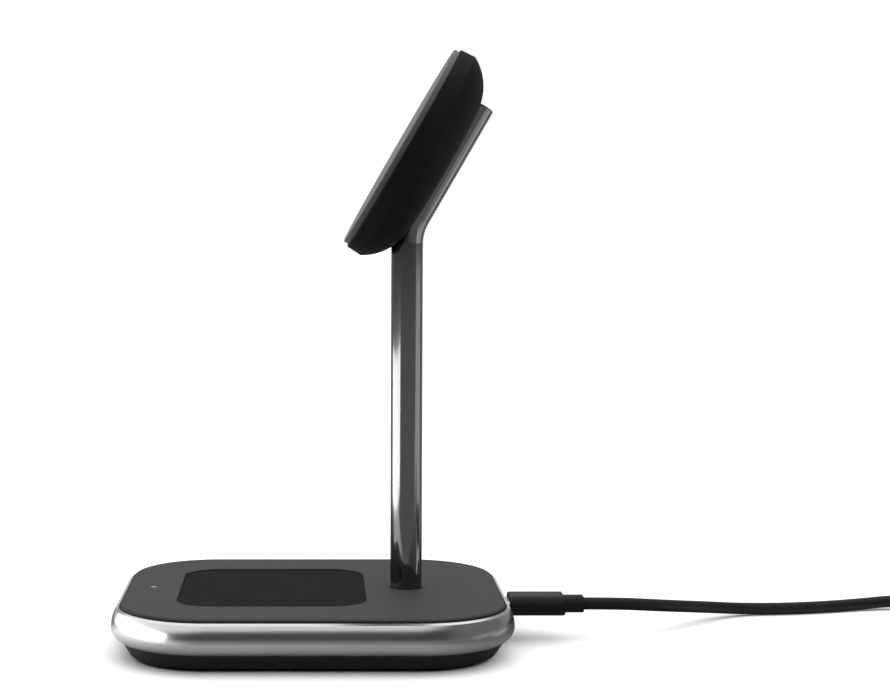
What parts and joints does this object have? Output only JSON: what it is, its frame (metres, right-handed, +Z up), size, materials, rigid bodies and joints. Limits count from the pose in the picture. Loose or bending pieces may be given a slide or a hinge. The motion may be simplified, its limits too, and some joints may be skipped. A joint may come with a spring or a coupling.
{
  "type": "two in one wireless charging station",
  "caption": "Weighted rounded base with an earbud charging spot, a bent round stem and a tilted magnetic disc that charges a phone; power lead at the back.",
  "frame": {"origin": "on the table, under the middle of the base", "axes": "+Z up; +X to the back, where the power lead leaves; -X to the user; +Y to the user's left"},
  "size_m": [0.2713, 0.0975, 0.1538],
  "materials": {
    "band_metal": "polished, with a bright chamfer",
    "deck_soft": "soft-touch matte",
    "inlay_rubber": "smooth non-slip",
    "case_black": "fine matte texture",
    "stem_chrome": "dark polished plating",
    "face_grey": "matte grey silicone",
    "foot_rubber": "matte",
    "steel": "zinc plated",
    "plug_metal": "nickel plated",
    "copper": "enamelled winding",
    "ferrite": "sintered",
    "board": "solder mask",
    "chip_black": "moulded",
    "light": "clear diffusing",
    "cord_black": "matte jacket",
    "plug_black": "satin overmould",
    "tie_fabric": "hook-and-loop strap"
  },
  "bodies": {
    "root": {"metal_band": "band_metal", "deck": "deck_soft", "spot_inlay": "inlay_rubber", "bottom_tray": "case_black", "head_shell": "case_black", "stem_tube": "stem_chrome", "stem_cap": "stem_chrome", "face_plate": "face_grey", "foot_front_left": "foot_rubber", "foot_front_right": "foot_rubber", "foot_rear_left": "foot_rubber", "foot_rear_right": "foot_rubber", "ballast_plate": "steel", "stem_socket": "steel", "case_screws": "steel", "socket_screws": "steel", "board_screws": "steel", "head_screws": "steel", "magnet_yoke": "steel", "plug_shell": "plug_metal", "far_plug_shell": "plug_metal", "port_shell": "plug_metal", "spot_coil": "copper", "head_coil": "copper", "spot_ferrite": "ferrite", "head_ferrite": "ferrite", "magnets": "ferrite", "main_board": "board", "head_board": "board", "controller_chip": "chip_black", "power_inductor": "chip_black", "capacitors": "chip_black", "port_tongue": "chip_black", "lead_plug": "chip_black", "coil_frame": "chip_black", "light_pipe": "light", "status_led": "light", "cord": "cord_black", "cord_coil": "cord_black", "cord_tail": "cord_black", "stem_lead": "cord_black", "plug_body": "plug_black", "plug_relief": "plug_black", "far_plug_body": "plug_black", "far_plug_relief": "plug_black", "coil_tie": "tie_fabric"}
  },
  "joints": []
}
